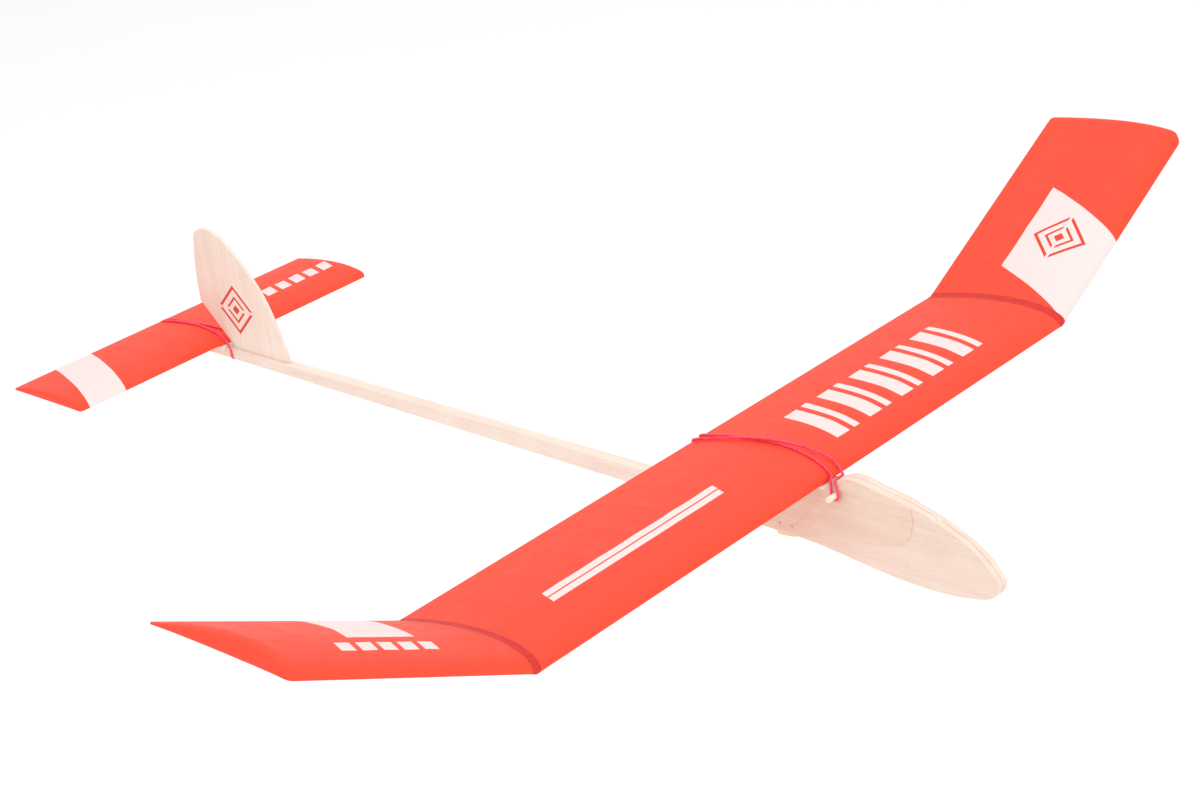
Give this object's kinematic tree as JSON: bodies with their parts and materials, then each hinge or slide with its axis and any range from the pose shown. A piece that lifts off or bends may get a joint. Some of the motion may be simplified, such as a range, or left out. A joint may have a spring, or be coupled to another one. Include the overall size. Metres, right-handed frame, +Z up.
{
  "type": "free-flight model glider",
  "caption": "Small film-covered balsa glider with upswept wing tips, a slab nose pod on a stick boom, and a wing and tilting tailplane held by rubber bands.",
  "frame": {"origin": "under the middle of the glider, at the height of its lowest point", "axes": "+X to the glider's left wing tip, nose towards -Y, +Z up"},
  "size_m": [0.8108, 0.7432, 0.1367],
  "materials": {
    "film": "red heat-shrunk covering film, satin, with plain white markings",
    "joint_tape": "doubled red film",
    "balsa": "bare sanded balsa",
    "pine": "bare pine strip",
    "plywood": "bare thin plywood",
    "dowel_wood": "bare beech dowel",
    "rubber_band": "crimson rubber",
    "steel_pin": "plain wire",
    "ballast": "dull lead"
  },
  "bodies": {
    "airframe": {"wing_centre_covering": "film", "left_tip_covering": "film", "right_tip_covering": "film", "left_joint_tape": "joint_tape", "right_joint_tape": "joint_tape", "pod_half_left": "balsa", "pod_half_right": "balsa", "tail_boom": "balsa", "fin": "balsa", "tail_platform": "balsa", "wing_centre_leading_edge": "balsa", "wing_centre_trailing_edge": "balsa", "wing_centre_ribs": "balsa", "wing_centre_sheeting": "balsa", "left_tip_leading_edge": "balsa", "left_tip_trailing_edge": "balsa", "left_tip_ribs": "balsa", "left_tip_end_plate": "balsa", "right_tip_leading_edge": "balsa", "right_tip_trailing_edge": "balsa", "right_tip_ribs": "balsa", "right_tip_end_plate": "balsa", "wing_centre_spar": "pine", "left_tip_spar": "pine", "right_tip_spar": "pine", "pod_doubler_left": "plywood", "pod_doubler_right": "plywood", "wing_saddle": "plywood", "tow_hook": "plywood", "left_dihedral_brace": "plywood", "right_dihedral_brace": "plywood", "front_wing_dowel": "dowel_wood", "rear_wing_dowel": "dowel_wood", "tail_band_peg": "dowel_wood", "ballast_plug": "dowel_wood", "wing_rubber_band": "rubber_band", "tail_band_front_loop": "rubber_band", "tail_band_rear_loop": "rubber_band", "tow_hook_pins": "steel_pin", "ballast_weight": "ballast"},
    "tailplane": {"tail_covering": "film", "tail_leading_edge": "balsa", "tail_trailing_edge": "balsa", "tail_ribs": "balsa", "tail_spar": "pine", "tail_end_plates": "balsa", "tail_centre_sheeting": "balsa", "tail_band_strands": "rubber_band"}
  },
  "joints": [
    {"name": "tailplane_tilt", "type": "hinge", "parent": "airframe", "child": "tailplane", "pos_m": [0, 0.29182, 0.02676], "axis": [1, 0, 0], "range_deg": [0, 22], "stiffness_Nm_per_rad": 0.02, "springref_deg": -20.05}
  ]
}
